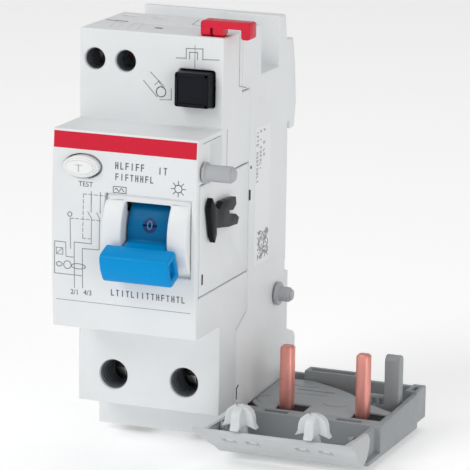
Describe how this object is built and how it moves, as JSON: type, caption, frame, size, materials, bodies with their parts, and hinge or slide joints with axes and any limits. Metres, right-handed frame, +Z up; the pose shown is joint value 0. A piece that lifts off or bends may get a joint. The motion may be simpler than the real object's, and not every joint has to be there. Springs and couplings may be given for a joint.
{
  "type": "add-on residual current block",
  "caption": "Two-module add-on residual current block for a DIN rail, with a toggle, test and lock buttons, and a low arm with copper pins and a locking flap.",
  "frame": {"origin": "middle of the rail seat: the housing's middle plane, the rail's centre line and the face that rests on the rail", "axes": "+X right seen from the front, +Y back towards the rail, +Z up"},
  "size_m": [0.0719, 0.0714, 0.1005],
  "materials": {
    "housing": "satin moulded plastic",
    "bezel": "smooth moulded plastic",
    "arm_grey": "satin moulded plastic",
    "arm_light": "satin moulded plastic",
    "flap": "satin moulded plastic",
    "plug": "satin moulded plastic",
    "peg": "satin moulded plastic",
    "button": "smooth moulded plastic",
    "blue": "glossy moulded plastic",
    "red": "glossy moulded plastic",
    "black": "smooth moulded plastic",
    "copper": "drawn copper",
    "steel": "zinc plated",
    "core": "lacquered",
    "winding": "enamelled copper wire"
  },
  "bodies": {
    "housing": {"front_shell": "housing", "rear_base": "housing", "side_panel": "housing", "toggle_bezel": "bezel", "toggle_axle": "steel", "toggle_spring": "steel", "test_spring": "steel", "test_contact": "steel", "test_resistor": "core", "lock_spring": "steel", "trip_relay": "core", "core_ring": "core", "core_winding": "winding", "conductor_1": "copper", "conductor_2": "copper", "copper_pin_1": "copper", "copper_pin_2": "copper", "latch_spring": "steel", "peg_upper": "peg", "peg_lower": "peg", "arm_base": "arm_grey", "arm_cover": "arm_light", "aux_terminal_1": "copper", "aux_terminal_2": "copper"},
    "toggle": {"toggle_handle": "blue"},
    "test_key": {"test_button": "button"},
    "lock_key": {"lock_button": "black"},
    "clip": {"coupling_clip": "red"},
    "trip": {"trip_lever": "black", "trip_shaft": "black"},
    "plunger": {"relay_plunger": "steel"},
    "screw_left": {"terminal_screw_1": "steel"},
    "screw_right": {"terminal_screw_2": "steel"},
    "cage_left": {"clamp_cage_1": "steel"},
    "cage_right": {"clamp_cage_2": "steel"},
    "aux_screw_left": {"aux_screw_1": "steel"},
    "aux_screw_right": {"aux_screw_2": "steel"},
    "latch": {"rail_latch": "arm_grey"},
    "flap_lock": {"flap": "flap", "locking_plug_1": "plug", "locking_plug_2": "plug"}
  },
  "joints": [
    {"name": "toggle_turn", "type": "hinge", "parent": "housing", "child": "toggle", "pos_m": [0.0059, -0.046, 0.0008], "axis": [-1, 0, 0], "range_deg": [0, 44]},
    {"name": "test_press", "type": "slide", "parent": "housing", "child": "test_key", "axis": [0, 1, 0], "range_m": [0, 0.0014], "stiffness_N_per_m": 400, "springref_m": -0.001, "deforming": ["test_spring"]},
    {"name": "lock_press", "type": "slide", "parent": "housing", "child": "lock_key", "axis": [0, 1, 0], "range_m": [0, 0.002], "stiffness_N_per_m": 400, "springref_m": -0.001, "deforming": ["lock_spring"]},
    {"name": "clip_lift", "type": "slide", "parent": "housing", "child": "clip", "axis": [0, 0, 1], "range_m": [0, 0.003]},
    {"name": "trip_turn", "type": "hinge", "parent": "housing", "child": "trip", "pos_m": [0.0175, -0.0415, 0.0042], "axis": [1, 0, 0], "range_deg": [0, 8], "stiffness_Nm_per_rad": 0.01, "springref_deg": -2.86},
    {"name": "plunger_lift", "type": "slide", "parent": "housing", "child": "plunger", "axis": [0, 0, 1], "range_m": [0, 0.00125]},
    {"name": "screw_left_turn", "type": "hinge", "parent": "housing", "child": "screw_left", "pos_m": [-0.00875, -0.0324, -0.0363], "axis": [0, -1, 0], "range_deg": [0, 1081]},
    {"name": "screw_right_turn", "type": "hinge", "parent": "housing", "child": "screw_right", "pos_m": [0.00875, -0.0324, -0.0363], "axis": [0, -1, 0], "range_deg": [0, 1081]},
    {"name": "cage_left_slide", "type": "slide", "parent": "housing", "child": "cage_left", "axis": [0, 1, 0], "range_m": [0, 0.0024]},
    {"name": "cage_right_slide", "type": "slide", "parent": "housing", "child": "cage_right", "axis": [0, 1, 0], "range_m": [0, 0.0024]},
    {"name": "aux_left_turn", "type": "hinge", "parent": "housing", "child": "aux_screw_left", "pos_m": [-0.0138, -0.0324, 0.0368], "axis": [0, -1, 0], "range_deg": [0, 720]},
    {"name": "aux_right_turn", "type": "hinge", "parent": "housing", "child": "aux_screw_right", "pos_m": [-0.0063, -0.0324, 0.0368], "axis": [0, -1, 0], "range_deg": [0, 720]},
    {"name": "latch_pull", "type": "slide", "parent": "housing", "child": "latch", "axis": [0, 0, -1], "range_m": [0, 0.003], "stiffness_N_per_m": 600, "springref_m": -0.001, "deforming": ["latch_spring"]},
    {"name": "flap_turn", "type": "hinge", "parent": "housing", "child": "flap_lock", "pos_m": [0.03515, -0.0432, -0.0446], "axis": [-1, 0, 0], "range_deg": [0, 90]}
  ],
  "couplings": [
    {"joint": "trip_turn", "follows": "plunger_lift", "rad_per_m": 111.11},
    {"joint": "screw_left_turn", "follows": "cage_left_slide", "rad_per_m": 7854},
    {"joint": "screw_right_turn", "follows": "cage_right_slide", "rad_per_m": 7854}
  ]
}
